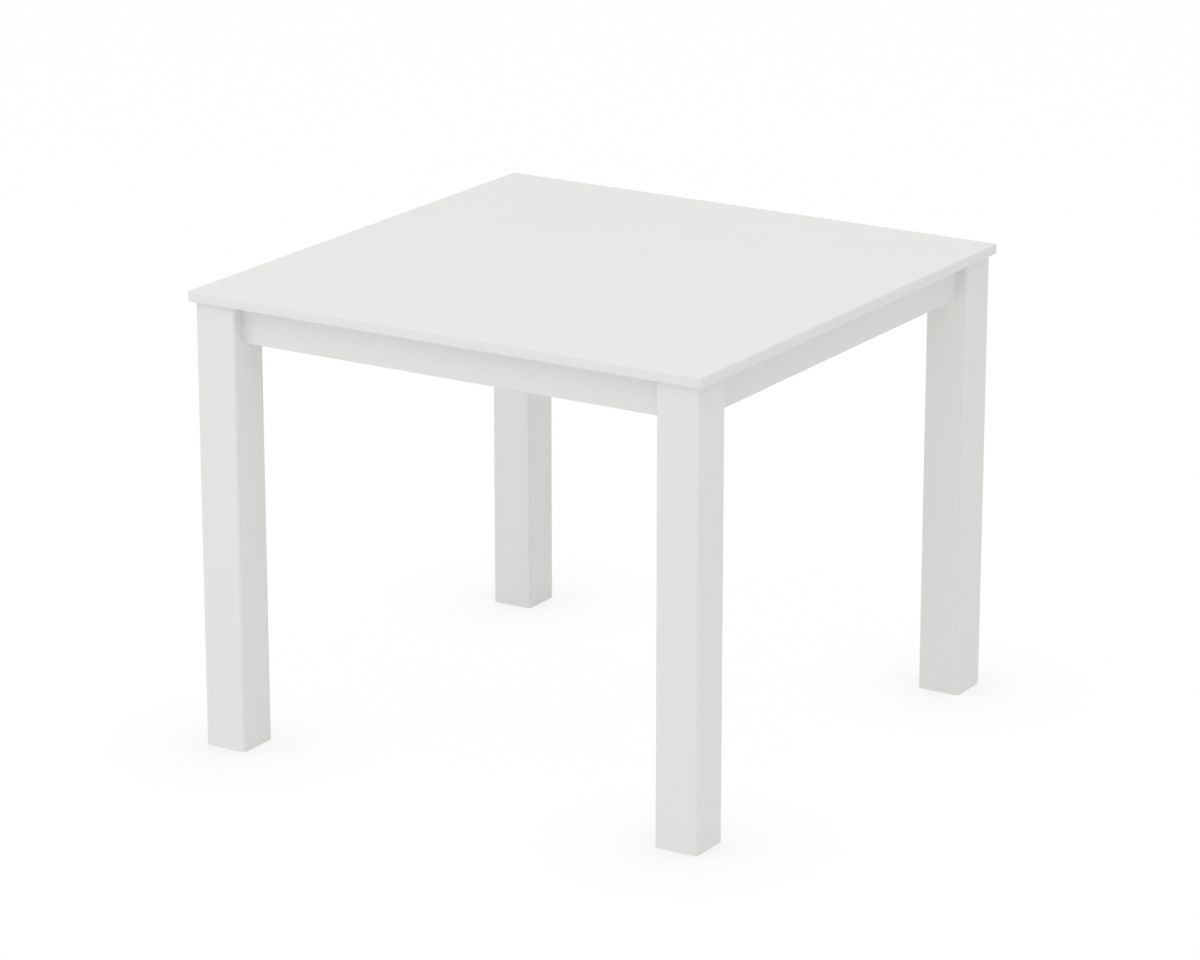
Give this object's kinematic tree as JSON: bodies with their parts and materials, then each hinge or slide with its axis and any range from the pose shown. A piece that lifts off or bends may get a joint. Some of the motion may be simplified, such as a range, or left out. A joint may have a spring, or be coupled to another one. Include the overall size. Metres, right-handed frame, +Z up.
{
  "type": "dining table",
  "caption": "Square dining table with a flat slab top on square corner legs, set-back aprons between the legs and bolted steel corner brackets underneath.",
  "frame": {"origin": "on the floor, under the middle of the table", "axes": "+Z up, +X to the right along the front edge, +Y from the front edge to the back one"},
  "size_m": [0.9144, 0.9144, 0.738],
  "materials": {
    "plastic_lumber": "matte",
    "bracket_steel": "satin",
    "fastener_steel": "satin",
    "insert_brass": "satin"
  },
  "bodies": {
    "root": {"tabletop": "plastic_lumber", "leg_front_left": "plastic_lumber", "leg_front_right": "plastic_lumber", "leg_back_left": "plastic_lumber", "leg_back_right": "plastic_lumber", "apron_front": "plastic_lumber", "apron_back": "plastic_lumber", "apron_left": "plastic_lumber", "apron_right": "plastic_lumber", "rail_left": "plastic_lumber", "rail_right": "plastic_lumber", "corner_bracket_front_left": "bracket_steel", "corner_bracket_front_right": "bracket_steel", "corner_bracket_back_left": "bracket_steel", "corner_bracket_back_right": "bracket_steel", "rail_bracket_front_left": "bracket_steel", "rail_bracket_front_right": "bracket_steel", "rail_bracket_back_left": "bracket_steel", "rail_bracket_back_right": "bracket_steel", "top_clips": "bracket_steel", "leg_inserts": "insert_brass", "leg_bolts": "fastener_steel", "leg_flat_washers": "fastener_steel", "leg_spring_washers": "fastener_steel", "corner_bracket_screws": "fastener_steel", "rail_bracket_screws": "fastener_steel", "clip_side_screws": "fastener_steel", "clip_top_screws": "fastener_steel"}
  },
  "joints": []
}
